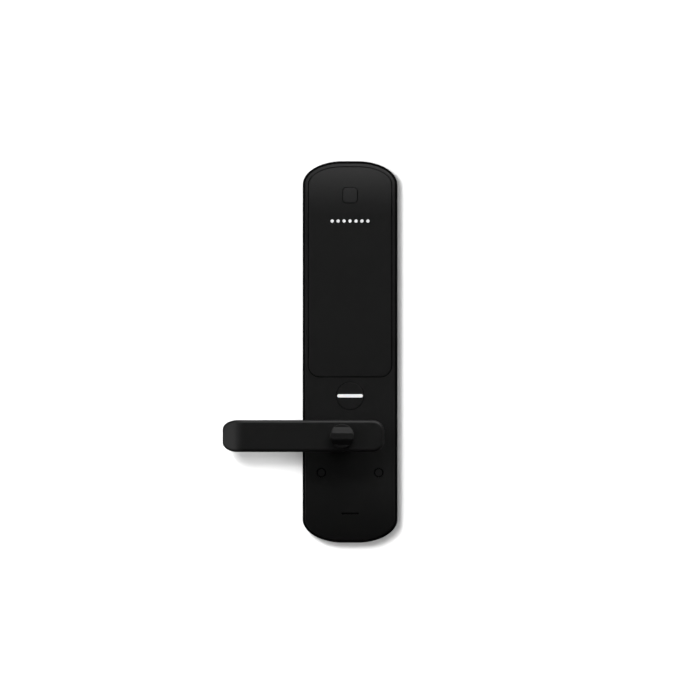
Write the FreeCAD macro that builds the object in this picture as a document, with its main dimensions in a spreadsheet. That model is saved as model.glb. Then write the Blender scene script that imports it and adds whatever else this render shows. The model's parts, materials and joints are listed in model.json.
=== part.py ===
"""Keypad smart lock: the outside unit of a mortise lock, with its lever handle.

Frame: the origin is on the lever's axis, in the plane of the door's face. X runs to the right and Z up as
the lock is seen from the front, and the front looks along -Y. Depths are distances out of the door, so a
point at depth d has y = -d. Millimetres throughout.
"""
import FreeCAD
import Part
import math
import os
import re
import Sketcher

V = FreeCAD.Vector

# Driving dimensions. Each is a cell of the sheet, under the same alias.
DIMENSIONS = {
    # Body: a tall slab with elliptical ends, on a slightly wider base. The front curves back at both ends.
    "body_width": 76.5,
    "body_top": 221.75,
    "body_bottom": 86.25,
    "body_depth": 27,
    "body_mid": 6.5,
    "arch_width": 32.05,
    "arch_height": 18.9,
    "crown_run": 42,
    "crown_radius": 150,
    "rim_wide": 2.05,
    "rim_depth": 19,
    "rim_radius": 0.4,
    "cover_radius": 0.6,
    "side_wall": 3.25,
    "front_wall": 3.6,
    "gasket_thick": 1,
    "gasket_inset": 0.6,
    "gasket_band": 3.4,
    # Touch panel, the mark let into it, and what lies behind it.
    "panel_inset": 4.9,
    "panel_gap": 0.7,
    "panel_low": 47.9,
    "panel_corner": 9,
    "panel_thick": 2.2,
    "panel_edge": 0.3,
    "tape_thick": 0.3,
    "ledge": 2.6,
    "mark_high": 173.4,
    "mark_pitch": 4.8,
    "mark_radius": 1.3,
    "mark_thick": 0.4,
    "board_thick": 1.6,
    "touch_half": 29.4,
    "touch_low": 54,
    "touch_high": 176,
    "guide_thick": 1.6,
    "key_pitch_wide": 19,
    "key_pitch_tall": 27,
    "key_low": 71,
    "key_window": 8,
    "lamp_wide": 3.2,
    "lamp_tall": 1.6,
    "lamp_thick": 0.8,
    # Fingerprint sensor.
    "finger_high": 194.2,
    "finger_wide": 11.5,
    "finger_tall": 12,
    "finger_corner": 3,
    "finger_gap": 0.55,
    "finger_foot": 21.4,
    "finger_sink": 0.12,
    "finger_skirt": 1.2,
    "finger_board_wide": 22,
    "finger_board_tall": 18,
    # Status button with its light bar, and its switch.
    "button_high": 32.3,
    "button_radius": 10.95,
    "button_gap": 0.42,
    "button_edge": 0.25,
    "button_flange": 12.4,
    "button_foot": 22.4,
    "bar_wide": 20.6,
    "bar_tall": 2.6,
    "bar_gap": 0.04,
    "bar_base_wide": 19.6,
    "bar_base_tall": 6,
    "bar_base_thick": 1,
    "plunger_radius": 1.7,
    "plunger_drop": 6.6,
    "plunger_length": 2.3,
    "switch_side": 6.2,
    "switch_thick": 1.8,
    "button_board_front": 17,
    "button_board_wide": 42,
    "button_board_tall": 25,
    "button_screw_spread": 17.5,
    "button_boss": 3,
    "tiny_screw": 1,
    "tiny_length": 5,
    "tiny_head": 1.9,
    "tiny_head_tall": 1.2,
    "pad_outer": 11.8,
    "pad_inner": 10.5,
    # Front screws with their caps, bosses and standoffs.
    "cap_spread": 23.15,
    "cap_high": -29.7,
    "cap_radius": 2.85,
    "cap_hole": 4,
    "cap_lip": 2.6,
    "cap_skirt": 3.55,
    "cap_skirt_gap": 0.05,
    "boss_radius": 6,
    "boss_foot": 15,
    "screw_seat": 18,
    "screw_radius": 2,
    "screw_gap": 0.2,
    "screw_length": 13,
    "screw_head": 3.5,
    "screw_head_tall": 3,
    "screw_hex": 1.75,
    "standoff_radius": 4,
    "standoff_head": 14.9,
    "thread_gap": 0.05,
    # Sound slot, foam and buzzer.
    "slot_high": -62.7,
    "slot_wide": 14.2,
    "slot_tall": 1.6,
    "buzzer_radius": 9.5,
    "buzzer_foot": 12,
    "buzzer_tall": 8,
    "buzzer_port": 1.2,
    "cup_wall": 1.5,
    "cup_foot": 14,
    "cup_gap": 0.1,
    # Rear plate and what is fixed to it.
    "plate_thick": 2,
    "plate_gap": 0.2,
    "plate_hole": 10.5,
    "cable_high": 69,
    "cable_wide": 22,
    "cable_tall": 14,
    "grommet_wall": 2,
    "grommet_lip": 1.4,
    "post_high": 188,
    "post_low": -44,
    "post_radius": 4.5,
    "post_bore": 2.1,
    "post_bore_deep": 15,
    "post_reach": 18,
    "post_neck": 3,
    "post_head": 6,
    "post_head_tall": 1.5,
    "rear_screw_spread": 31,
    "rear_screw_upper": 185,
    "rear_screw_lower": 76,
    "rear_boss": 4.6,
    "rear_boss_head": 20,
    "small_screw": 1.5,
    "small_head": 2.9,
    "small_head_tall": 1.6,
    "small_length": 8,
    "cross_wide": 0.7,
    # Main board.
    "main_half": 27,
    "main_low": 84,
    "main_high": 174,
    "main_foot": 8,
    "main_post": 3,
    "main_inset": 4.5,
    "chip_side": 12,
    "chip_thick": 1.4,
    "socket_wide": 16,
    "socket_tall": 7,
    "socket_thick": 6,
    "socket_wall": 1,
    # Lever: a flat bar whose free end turns back towards the door, on a round neck.
    "lever_front": 60,
    "lever_thick": 10,
    "lever_half": 12.85,
    "lever_right": 34.1,
    "lever_left": 96.15,
    "lever_end_wide": 11.8,
    "lever_end_tall": 7.6,
    "lever_heel_wide": 9.6,
    "lever_heel_tall": 8.6,
    "bend_start": 83.8,
    "bend_run": 15,
    "bend_drop": 7,
    "bend_shift": 2.2,
    "bend_outer": 21,
    "bend_inner": 11,
    "lever_round": 2.5,
    "neck_radius": 9.6,
    "neck_flare": 12,
    "neck_flare_long": 3,
    "neck_foot": 28.3,
    # Lever shaft, its bush and what holds it.
    "journal_radius": 8,
    "journal_foot": 16.2,
    "tenon_side": 11.2,
    "tenon_foot": 13,
    "core_radius": 7,
    "core_head": 47,
    "turn_bore": 3.5,
    "fit_gap": 0.05,
    "bush_gap": 0.06,
    "bush_outer": 10.5,
    "bush_flange": 11.8,
    "bush_flange_thick": 1,
    "bush_foot": 20,
    "bush_boss": 13,
    "clip_foot": 18.5,
    "clip_thick": 1,
    "clip_outer": 10.4,
    "clip_groove": 7.3,
    "clip_mouth": 8,
    "grub_depth": 38,
    "grub_radius": 2,
    "grub_head": 9.2,
    "grub_foot": 6,
    # Spindle, hub and clutch drum.
    "spindle_side": 9,
    "spindle_bore": 2.7,
    "spindle_reach": 45,
    "spindle_head": 11,
    "hub_radius": 10,
    "hub_foot": 5,
    "hub_head": 11.6,
    "hub_journal": 8.9,
    "hub_journal_foot": 1.4,
    "notch_radius": 1.6,
    "notch_floor": 7.6,
    "drum_inner": 10.15,
    "drum_outer": 13.5,
    "drum_foot": 5.6,
    "drum_floor": 12,
    "drum_head": 16,
    "lug_reach": 18.4,
    "lug_wide": 5,
    "lug_thick": 2.4,
    # Clutch pin and its spring.
    "pin_depth": 9.4,
    "pin_radius": 1.4,
    "pin_gap": 0.1,
    "pin_tip": 8.7,
    "pin_head": 2.4,
    "pin_head_foot": 13.85,
    "pin_head_reach": 14.85,
    "pin_pocket": 2.3,
    "pin_pocket_floor": 11.3,
    "pin_wire": 0.45,
    "pin_coil": 1.85,
    "pin_coil_pitch": 0.75,
    "pin_coil_tall": 1.875,
    # Clutch shoe, its guide, and the motor with its lead screw.
    "shoe_arc": 14.9,
    "shoe_foot": 7.6,
    "shoe_head": 29.6,
    "shoe_wide": 16.8,
    "shoe_half": 2,
    "guide_wall": 2,
    "guide_foot": 21.5,
    "guide_tall": 6.5,
    "guide_gap": 0.08,
    "guide_front": 12.4,
    "worm_x": -4,
    "worm_radius": 1.5,
    "worm_gap": 0.1,
    "worm_lead": 1.5,
    "worm_tip": 22.6,
    "worm_bore_foot": 19.2,
    "motor_foot": 35,
    "motor_gearbox": 9,
    "motor_can": 15,
    "motor_wide": 12,
    "motor_thick": 10,
    "motor_nose": 2.2,
    "motor_nose_tall": 1,
    "clamp_wall": 1.2,
    "clamp_foot": 47,
    "clamp_tall": 8,
    "clamp_ear": 6.5,
    "clamp_ear_thick": 1.6,
    # Spring plate with its stops, and the lever's return spring.
    "spring_plate": 21,
    "spring_plate_thick": 1.2,
    "spring_plate_hole": 9,
    "stop_radius": 1.5,
    "stop_ring": 16.6,
    "stop_head": 8.2,
    "plate_screw": 1.05,
    "plate_screw_ring": 18.6,
    "plate_screw_length": 3,
    "plate_screw_head": 2,
    "plate_screw_tall": 1,
    "spring_wire": 0.4,
    "spring_mean": 15.1,
    "spring_foot": 13,
    "spring_tall": 3.575,
    "spring_pitch": 1.3,
    "spring_leg_inner": 12.4,
    "spring_leg_outer": 20.4,
    "spring_post_head": 18,
    # Turn knob and its tail.
    "knob_radius": 9.65,
    "knob_foot": 60.3,
    "knob_disc": 3.4,
    "knob_reach": 68.4,
    "grip_long": 19.4,
    "grip_top": 5.2,
    "grip_base": 12,
    "grip_foot": 14.6,
    "grip_flare": 1,
    "grip_corner": 2.4,
    "grip_edge": 0.6,
    "disc_edge": 0.5,
    "knob_socket": 4.7,
    "knob_socket_deep": 6,
    "shank_radius": 3.4,
    "shank_foot": 11.8,
    "eclip_outer": 5,
    "eclip_groove": 2.6,
    "eclip_thick": 0.7,
    "eclip_foot": 12.1,
    "eclip_mouth": 3.4,
    "tail_radius": 2.6,
    "tail_blade": 2.4,
    "tail_blade_root": 46,
    "tail_reach": 54,
}

doc = FreeCAD.newDocument("keypad_lock")
sheet = doc.addObject("Spreadsheet::Sheet", "dims")
for row, (alias, value) in enumerate(DIMENSIONS.items(), start=1):
    sheet.set(f"A{row}", alias)
    sheet.set(f"B{row}", str(value))
    sheet.setAlias(f"B{row}", alias)
doc.recompute()


# ---------------------------------------------------------------- expressions and placing


def cells(expression):
    """A FreeCAD expression in which each name is a cell of the sheet."""
    return re.sub(r"[a-z][a-z_]*", lambda found: "dims." + found.group(0), str(expression))


def size(expression):
    """The value that an expression has now."""
    return float(sheet.evalExpression(cells(expression)))


def bind(thing, **expressions):
    """Binds properties to expressions. A double underscore in a name stands for a dot."""
    for name, expression in expressions.items():
        thing.setExpression(name.replace("__", "."), cells(expression))
    return thing


def place(thing, x, y, z):
    return bind(thing, Placement__Base__x=x, Placement__Base__y=y, Placement__Base__z=z)


def turned(thing, axis, degrees):
    thing.Placement = FreeCAD.Placement(V(0, 0, 0), FreeCAD.Rotation(axis, degrees))
    return thing


# ---------------------------------------------------------------- primitives and booleans


def box(x, z, width, height, depth, thick):
    """A block centred on x and z, from depth outwards by thick."""
    block = doc.addObject("Part::Box", "block")
    bind(block, Length=width, Width=thick, Height=height)
    return place(block, f"({x})-({width})/2", f"-({depth})-({thick})", f"({z})-({height})/2")


def rod(x, z, radius, depth, length):
    """A cylinder about an axis along Y, from depth outwards by length."""
    cylinder = turned(doc.addObject("Part::Cylinder", "rod"), V(1, 0, 0), 90)
    bind(cylinder, Radius=radius, Height=length)
    return place(cylinder, x, f"-({depth})", z)


def post(x, depth, radius, foot, length):
    """A cylinder about an axis along Z, from foot upwards by length."""
    cylinder = bind(doc.addObject("Part::Cylinder", "post"), Radius=radius, Height=length)
    return place(cylinder, x, f"-({depth})", foot)


def cone(x, z, radius, end_radius, depth, length):
    """A cone about an axis along Y, from depth outwards by length."""
    taper = turned(doc.addObject("Part::Cone", "cone"), V(1, 0, 0), 90)
    bind(taper, Radius1=radius, Radius2=end_radius, Height=length)
    return place(taper, x, f"-({depth})", z)


def hexagon(x, z, radius, depth, length):
    """A six-sided prism about an axis along Y, from depth outwards by length."""
    prism = turned(doc.addObject("Part::Prism", "hexagon"), V(1, 0, 0), 90)
    prism.Polygon = 6
    bind(prism, Circumradius=radius, Height=length)
    return place(prism, x, f"-({depth})", z)


def slot(x, z, width, height, depth, thick):
    """A block with round ends, centred on x and z."""
    half = f"(({width})-({height}))/2"
    middle = box(x, z, f"({width})-({height})", height, depth, thick)
    ends = [rod(f"({x}){sign}{half}", z, f"({height})/2", depth, thick) for sign in "+-"]
    return joined(middle, *ends)


def ring(x, z, outer, inner, depth, thick):
    return cut(rod(x, z, outer, depth, thick), rod(x, z, inner, depth, thick))


def joined(*things):
    union = doc.addObject("Part::MultiFuse", "union")
    union.Shapes = list(things)
    union.Refine = True
    return union


def cut(base, *tools):
    for tool in tools:
        difference = doc.addObject("Part::Cut", "difference")
        difference.Base = base
        difference.Tool = tool
        difference.Refine = True
        base = difference
    return base


def common(base, tool):
    overlap = doc.addObject("Part::Common", "overlap")
    overlap.Base = base
    overlap.Tool = tool
    return overlap


def group(*things):
    """Separate solids kept as one sub-part."""
    together = doc.addObject("Part::Compound", "group")
    together.Links = list(things)
    return together


def chosen_edges(thing, wanted):
    """Numbers of the edges of a shape that a test accepts, after a recompute."""
    doc.recompute()
    return [n for n, edge in enumerate(thing.Shape.Edges, start=1) if wanted(edge)]


def rounded_body(body, radius, wanted):
    """Rounds the edges of a body that a test accepts."""
    base = body.Tip
    names = [f"Edge{n}" for n in chosen_edges(base, wanted)]
    fillet = body.newObject("PartDesign::Fillet", "round")
    fillet.Base = (base, names)
    bind(fillet, Radius=radius)
    body.Tip = fillet
    return body


def rounded(thing, radius, wanted):
    """A copy of thing with the edges that a test accepts rounded."""
    fillet = doc.addObject("Part::Fillet", "round")
    fillet.Base = thing
    fillet.Edges = [(n, size(radius), size(radius)) for n in chosen_edges(thing, wanted)]
    return fillet


# ---------------------------------------------------------------- bodies with sketches


def new_body():
    return doc.addObject("PartDesign::Body", "body")


def new_sketch(body, plane, offset="0"):
    """A sketch on one of the body's own origin planes, moved along the plane's normal."""
    sketch = body.newObject("Sketcher::SketchObject", "sketch")
    base = next(o for o in body.Origin.OriginFeatures if o.Role == plane)
    sketch.AttachmentSupport = (base, [""])
    sketch.MapMode = "FlatFace"
    return bind(sketch, AttachmentOffset__Base__z=offset)


def limit(sketch, kind, *references, to):
    """Adds a dimension to a sketch and binds it to an expression."""
    number = sketch.addConstraint(Sketcher.Constraint(kind, *references, size(to)))
    sketch.setExpression(f"Constraints[{number}]", cells(to))


def pin_point(sketch, geometry, point, x, y):
    """Fixes a point of a sketch by its coordinates."""
    limit(sketch, "DistanceX", -1, 1, geometry, point, to=x)
    limit(sketch, "DistanceY", -1, 1, geometry, point, to=y)


def corner_arc(sketch, x, y, corner, quarter):
    """A quarter of a circle or ellipse about x, y. corner is a radius, or a pair of semi-axes."""
    centre = V(size(x), size(y), 0)
    start = quarter * math.pi / 2
    end = start + math.pi / 2
    if isinstance(corner, str):
        circle = Part.Circle(centre, V(0, 0, 1), size(corner))
        number = sketch.addGeometry(Part.ArcOfCircle(circle, start, end))
        return number, lambda: limit(sketch, "Radius", number, to=corner)
    wide, tall = corner
    ellipse = Part.Ellipse(centre, size(wide), size(tall))
    number = sketch.addGeometry(Part.ArcOfEllipse(ellipse, start, end))

    def fix_axes():
        major = sketch.GeometryCount
        sketch.exposeInternalGeometry(number)
        sketch.addConstraint(Sketcher.Constraint("Horizontal", major))
        limit(sketch, "Distance", major, to=f"2*({wide})")
        limit(sketch, "Distance", major + 1, to=f"2*({tall})")

    return number, fix_axes


def outline(sketch, left, right, low, high, corners):
    """A closed outline with rounded corners, given from the upper right one round to the left."""
    arcs = []
    for quarter, corner in enumerate(corners):
        wide, tall = (corner, corner) if isinstance(corner, str) else corner
        x = f"({left})+({wide})" if quarter in (1, 2) else f"({right})-({wide})"
        y = f"({low})+({tall})" if quarter in (2, 3) else f"({high})-({tall})"
        arcs.append((*corner_arc(sketch, x, y, corner, quarter), x, y))
    lines = []
    for n, arc in enumerate(arcs):
        start = sketch.getPoint(arc[0], 2)
        end = sketch.getPoint(arcs[(n + 1) % 4][0], 1)
        lines.append(sketch.addGeometry(Part.LineSegment(start, end)))
    for n, line in enumerate(lines):
        sketch.addConstraint(Sketcher.Constraint("Tangent", arcs[n][0], 2, line, 1))
        sketch.addConstraint(Sketcher.Constraint("Tangent", line, 2, arcs[(n + 1) % 4][0], 1))
    for number, fix, x, y in arcs:
        fix()
        pin_point(sketch, number, 3, x, y)
    return sketch


def body_outline(sketch, inset):
    """The outline of the whole body, moved inwards."""
    arch = (f"arch_width-({inset})", f"arch_height-({inset})")
    return outline(
        sketch,
        f"body_mid-body_width/2+({inset})",
        f"body_mid+body_width/2-({inset})",
        f"-body_bottom+({inset})",
        f"body_top-({inset})",
        [arch] * 4,
    )


def panel_outline(sketch, grow):
    """The outline of the touch panel, moved outwards."""
    inset = f"(panel_inset-({grow}))"
    arch = (f"arch_width-{inset}", f"arch_height-{inset}")
    low_corner = f"panel_corner+({grow})"
    return outline(
        sketch,
        f"body_mid-body_width/2+{inset}",
        f"body_mid+body_width/2-{inset}",
        f"panel_low-({grow})",
        f"body_top-{inset}",
        [arch, arch, low_corner, low_corner],
    )


def centred_outline(sketch, x, z, width, height, corner):
    return outline(
        sketch,
        f"({x})-({width})/2",
        f"({x})+({width})/2",
        f"({z})-({height})/2",
        f"({z})+({height})/2",
        [corner] * 4,
    )


def pad(body, sketch, length):
    feature = body.newObject("PartDesign::Pad", "pad")
    feature.Profile = sketch
    bind(feature, Length=length)
    body.Tip = feature
    return body


def slab(draw, depth, thick):
    """A body padded outwards from depth, whose outline draw(sketch) draws."""
    body = new_body()
    return pad(body, draw(new_sketch(body, "XZ_Plane", depth)), thick)


def chain(sketch, points, closed=True):
    """Straight lines through points given as pairs of expressions, each point pinned."""
    spots = [V(size(x), size(y), 0) for x, y in points]
    ends = spots[1:] + spots[:1] if closed else spots[1:]
    lines = [sketch.addGeometry(Part.LineSegment(a, b)) for a, b in zip(spots, ends)]
    for first, second in zip(lines, lines[1:] + (lines[:1] if closed else [])):
        sketch.addConstraint(Sketcher.Constraint("Coincident", first, 2, second, 1))
    for line, (x, y) in zip(lines, points):
        pin_point(sketch, line, 1, x, y)
    return lines


def crown_cut(body, below):
    """Cuts away what stands in front of the crowned surface that lies below the body's own front."""
    sketch = new_sketch(body, "YZ_Plane")
    front = f"-(body_depth-({below}))"
    radius = f"crown_radius-({below})"
    centre_y = "crown_radius-body_depth"
    clear = "-(body_depth+5)"
    spread = math.asin(size("(crown_run+2)") / size(radius))
    arcs = []
    for sign, centre_z in ((1, "body_top-crown_run"), (-1, "crown_run-body_bottom")):
        circle = Part.Circle(V(size(centre_y), size(centre_z), 0), V(0, 0, 1), size(radius))
        turn = (math.pi - spread, math.pi) if sign > 0 else (math.pi, math.pi + spread)
        number = sketch.addGeometry(Part.ArcOfCircle(circle, *turn))
        arcs.append((number, centre_z))
    (upper, upper_z), (lower, lower_z) = arcs
    spots = [
        (sketch.getPoint(upper, 2), sketch.getPoint(lower, 1)),
        (sketch.getPoint(lower, 2), V(size(clear), size("-body_bottom-2"), 0)),
        (V(size(clear), size("-body_bottom-2"), 0), V(size(clear), size("body_top+2"), 0)),
        (V(size(clear), size("body_top+2"), 0), sketch.getPoint(upper, 1)),
    ]
    face, foot, far, head = [sketch.addGeometry(Part.LineSegment(a, b)) for a, b in spots]
    for kind, *references in (
        ("Tangent", upper, 2, face, 1),
        ("Tangent", face, 2, lower, 1),
        ("Coincident", lower, 2, foot, 1),
        ("Coincident", foot, 2, far, 1),
        ("Coincident", far, 2, head, 1),
        ("Coincident", head, 2, upper, 1),
        ("Horizontal", foot),
        ("Horizontal", head),
    ):
        sketch.addConstraint(Sketcher.Constraint(kind, *references))
    for number, centre_z in arcs:
        limit(sketch, "Radius", number, to=radius)
        pin_point(sketch, number, 3, centre_y, centre_z)
    pin_point(sketch, far, 1, clear, "-body_bottom-2")
    pin_point(sketch, far, 2, clear, "body_top+2")
    pocket = body.newObject("PartDesign::Pocket", "crown")
    pocket.Profile = sketch
    pocket.Type = "ThroughAll"
    pocket.Midplane = True
    body.Tip = pocket
    return body


def crowned(draw, depth, below):
    """A slab from depth up to the crowned surface that lies below the body's own front."""
    return crown_cut(slab(draw, depth, f"body_depth+1-({depth})"), below)


# ---------------------------------------------------------------- repeated shapes


def at_angle(radius, degrees):
    """Expressions for x and z at a radius and an angle from +X, counted the way the lever turns."""
    angle = math.radians(degrees)
    return f"({radius})*({math.cos(angle):.9f})", f"({radius})*({math.sin(angle):.9f})"


def mirrored_x(spread):
    """Places on both sides of the body's middle."""
    return f"body_mid-({spread})", f"body_mid+({spread})"


def cross_screw(x, z, seat, prefix, length, outward=True):
    """A screw with a cross recess. Its head sits on depth seat and faces outwards, or else the door."""
    radius, head, tall = f"{prefix}_screw", f"{prefix}_head", f"{prefix}_head_tall"
    shank_foot = f"({seat})-({length})" if outward else seat
    head_foot = seat if outward else f"({seat})-({tall})"
    recess_foot = f"({seat})+({tall})/2" if outward else head_foot
    whole = joined(rod(x, z, radius, shank_foot, length), rod(x, z, head, head_foot, tall))
    long, deep = f"({head})*1.2", f"({tall})/2"
    return cut(
        whole,
        box(x, z, long, "cross_wide", recess_foot, deep),
        box(x, z, "cross_wide", long, recess_foot, deep),
    )


def coil(radius, pitch, tall, section):
    """A coil about +Z, starting on +X. section is the wire's cross-section, drawn about its centre."""
    helix = doc.addObject("Part::Helix", "helix")
    helix.Style = 1
    bind(helix, Radius=radius, Pitch=pitch, Height=tall)
    section.Placement = FreeCAD.Placement(V(0, 0, 0), FreeCAD.Rotation(V(1, 0, 0), 90))
    bind(section, Placement__Base__x=radius)
    doc.recompute()
    sweep = doc.addObject("Part::Sweep", "coil")
    sweep.Sections = [section]
    sweep.Spine = (helix, [])
    sweep.Solid = True
    sweep.Frenet = True
    return sweep


def round_wire(radius):
    return bind(doc.addObject("Part::Circle", "wire"), Radius=radius)


def square_wire(diagonal):
    """A square section standing on its corner."""
    section = doc.addObject("Part::RegularPolygon", "wire")
    section.Polygon = 4
    return bind(section, Circumradius=diagonal)


def open_ring(outer, inner, depth, thick, mouth):
    """A flat ring about the lever's axis with a gap in its lower side."""
    whole = ring("0", "0", outer, inner, depth, thick)
    return cut(whole, box("0", f"-({outer})", mouth, f"({outer})*1.2", f"({depth})-1", f"({thick})+2"))


# ---------------------------------------------------------------- sub-parts of the case


def along_depth(edge):
    bounds = edge.BoundBox
    return bounds.XLength < 0.01 and bounds.ZLength < 0.01


def beyond(depth):
    """A test for edges that lie further out than depth and don't run straight outwards."""
    return lambda edge: edge.CenterOfMass.y < -size(depth) and not along_depth(edge)


def panel_recess():
    """The space of the touch panel and its tape, open at the front."""
    floor = crowned(lambda s: body_outline(s, "1"), "5", "panel_thick+tape_thick")
    return cut(slab(lambda s: panel_outline(s, "panel_gap"), "10", "20"), floor)


def front_housing():
    """The case: a hollow slab that steps in above its base, open at the back, with bosses inside."""
    cover = crowned(lambda s: body_outline(s, "rim_wide"), "gasket_thick", "0")
    rounded_body(cover, "cover_radius", beyond("15"))
    base = slab(lambda s: body_outline(s, "0"), "gasket_thick", "rim_depth-gasket_thick")
    rounded_body(base, "rim_radius", beyond("rim_depth-0.1"))
    hollow = crowned(lambda s: body_outline(s, "side_wall"), "gasket_thick-1", "front_wall")
    shell = cut(joined(cover, base), hollow)
    inside = [rod("0", "0", "bush_boss", "bush_foot", "body_depth-bush_foot-2")]
    cup_tall = "body_depth-cup_foot"
    cup = rod("body_mid", "slot_high", "buzzer_radius+cup_gap+cup_wall", "cup_foot", cup_tall)
    inside.append(common(cup, crowned(lambda s: body_outline(s, "1"), "5", "2")))
    for x in mirrored_x("cap_spread"):
        inside.append(rod(x, "cap_high", "boss_radius", "boss_foot", "body_depth-boss_foot-2"))
    for x in mirrored_x("button_screw_spread"):
        boss_tall = "body_depth-button_board_front-2"
        inside.append(rod(x, "button_high", "button_boss", "button_board_front", boss_tall))
    for x in mirrored_x("rear_screw_spread"):
        for z in ("rear_screw_upper", "rear_screw_lower"):
            foot = "gasket_thick+plate_thick"
            inside.append(rod(x, z, "rear_boss", foot, f"rear_boss_head-{foot}"))
    return cut(joined(shell, *inside), *housing_openings())


def housing_openings():
    """Everything that is cut out of the case and its bosses."""
    openings = [
        panel_recess(),
        slab(lambda s: panel_outline(s, "-ledge"), "20.5", "10"),
        rod("body_mid", "button_high", "button_radius+button_gap", "20", "10"),
        rod("0", "0", "bush_outer+fit_gap", "bush_foot-1", "12"),
        slot("body_mid", "slot_high", "slot_wide", "slot_tall", "20", "10"),
        crowned(
            lambda s: circle(s, "body_mid", "slot_high", "buzzer_radius+cup_gap"),
            "cup_foot-1",
            "front_wall",
        ),
    ]
    for x in mirrored_x("cap_spread"):
        lip = "body_depth-cap_lip"
        openings.append(rod(x, "cap_high", "cap_hole", lip, "5"))
        openings.append(rod(x, "cap_high", "cap_skirt+cap_skirt_gap", "screw_seat", f"{lip}-screw_seat"))
        openings.append(rod(x, "cap_high", "screw_radius+screw_gap", "boss_foot-1", "6"))
    for x in mirrored_x("button_screw_spread"):
        openings.append(rod(x, "button_high", "tiny_screw+thread_gap", "button_board_front-1", "5"))
    for x in mirrored_x("rear_screw_spread"):
        for z in ("rear_screw_upper", "rear_screw_lower"):
            foot = "gasket_thick+plate_thick-1"
            openings.append(rod(x, z, "small_screw+thread_gap", foot, "small_length+2"))
    return openings


def circle(sketch, x, z, radius):
    number = sketch.addGeometry(Part.Circle(V(size(x), size(z), 0), V(0, 0, 1), size(radius)))
    limit(sketch, "Radius", number, to=radius)
    pin_point(sketch, number, 3, x, z)
    return sketch


def curved_sheet(draw, above, below):
    """A sheet that follows the crowned front, between two depths under it."""
    outer = crowned(draw, "12", above)
    return cut(outer, crowned(lambda s: body_outline(s, "1"), "5", below))


def mark_places():
    return [f"body_mid+mark_pitch*({n})" for n in range(-3, 4)]


def touch_panel():
    """The cover of the keypad, flush with the case, with a hole for the fingerprint sensor."""
    panel = crowned(lambda s: panel_outline(s, "0"), "12", "0")
    rounded_body(panel, "panel_edge", beyond("15"))
    panel = cut(panel, crowned(lambda s: body_outline(s, "1"), "5", "panel_thick"))
    hole = slab(lambda s: finger_outline(s, "finger_gap"), "10", "20")
    dots = [rod(x, "mark_high", "mark_radius", "body_depth-mark_thick", "2") for x in mark_places()]
    return cut(panel, hole, *dots)


def panel_mark():
    """A plain row of dots, let in flush."""
    foot = "body_depth-mark_thick"
    return group(*[rod(x, "mark_high", "mark_radius", foot, "mark_thick") for x in mark_places()])


def panel_tape():
    whole = curved_sheet(lambda s: panel_outline(s, "-0.3"), "panel_thick", "panel_thick+tape_thick")
    return cut(whole, slab(lambda s: panel_outline(s, "-ledge"), "10", "20"))


def finger_outline(sketch, grow):
    grow = f"2*({grow})"
    return centred_outline(
        sketch,
        "body_mid",
        "finger_high",
        f"finger_wide+{grow}",
        f"finger_tall+{grow}",
        f"finger_corner+{grow}/2",
    )


def fingerprint_sensor():
    """A rounded square that nearly reaches the panel's face, on a skirt behind the panel."""
    pill = crowned(lambda s: finger_outline(s, "0"), "finger_foot", "finger_sink")
    rounded_body(pill, "panel_edge", beyond("finger_foot+1"))
    skirt = crowned(lambda s: finger_outline(s, "finger_skirt"), "finger_foot", "panel_thick")
    return joined(pill, skirt)


def sensor_board():
    foot = "finger_foot-board_thick"
    return box("body_mid", "finger_high", "finger_board_wide", "finger_board_tall", foot, "board_thick")


def key_places():
    for row in range(4):
        for column in (-1, 0, 1):
            yield f"body_mid+key_pitch_wide*({column})", f"key_low+key_pitch_tall*{row}"


def touch_plate(front, thick):
    middle = "(touch_low+touch_high)/2"
    tall = "touch_high-touch_low"
    return box("body_mid", middle, "2*touch_half", tall, f"{front}-({thick})", thick)


def light_guide():
    """A plate behind the panel, with a window for each key."""
    front = "body_depth-panel_thick"
    foot = f"{front}-guide_thick-1"
    windows = [box(x, z, "key_window", "key_window", foot, "guide_thick+2") for x, z in key_places()]
    return cut(touch_plate(front, "guide_thick"), *windows)


def keypad_board():
    return touch_plate("body_depth-panel_thick-guide_thick", "board_thick")


def keypad_lamps():
    foot = "body_depth-panel_thick-guide_thick"
    return group(*[box(x, z, "lamp_wide", "lamp_tall", foot, "lamp_thick") for x, z in key_places()])


def lever_bush():
    """A flanged sleeve that carries the lever's shaft."""
    sleeve = rod("0", "0", "bush_outer", "bush_foot", "body_depth-bush_foot")
    flange = rod("0", "0", "bush_flange", "body_depth", "bush_flange_thick")
    return cut(joined(sleeve, flange), rod("0", "0", "journal_radius+bush_gap", "bush_foot-1", "12"))


def cover_screws():
    """Socket-head screws that hold the case to the rear plate."""
    screws = []
    for x in mirrored_x("cap_spread"):
        shank = rod(x, "cap_high", "screw_radius", "screw_seat-screw_length", "screw_length")
        head = rod(x, "cap_high", "screw_head", "screw_seat", "screw_head_tall")
        socket = hexagon(x, "cap_high", "screw_hex", "screw_seat+screw_head_tall/2", "screw_head_tall")
        screws.append(cut(joined(shank, head), socket))
    return group(*screws)


def screw_caps():
    """Plugs over the front screws, each in a slightly wider hole."""
    caps = []
    for x in mirrored_x("cap_spread"):
        foot = "screw_seat+screw_head_tall+0.2"
        skirt = rod(x, "cap_high", "cap_skirt", foot, f"body_depth-cap_lip-({foot})")
        caps.append(joined(skirt, rod(x, "cap_high", "cap_radius", foot, f"body_depth-({foot})")))
    return group(*caps)


def sound_foam():
    """A disc between the buzzer and the slotted wall."""
    return crowned(
        lambda s: circle(s, "body_mid", "slot_high", "buzzer_radius"),
        "buzzer_foot+buzzer_tall",
        "front_wall",
    )


def buzzer():
    can = rod("body_mid", "slot_high", "buzzer_radius", "buzzer_foot", "buzzer_tall")
    return cut(can, rod("body_mid", "slot_high", "buzzer_port", "buzzer_foot+buzzer_tall-2", "3"))


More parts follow.
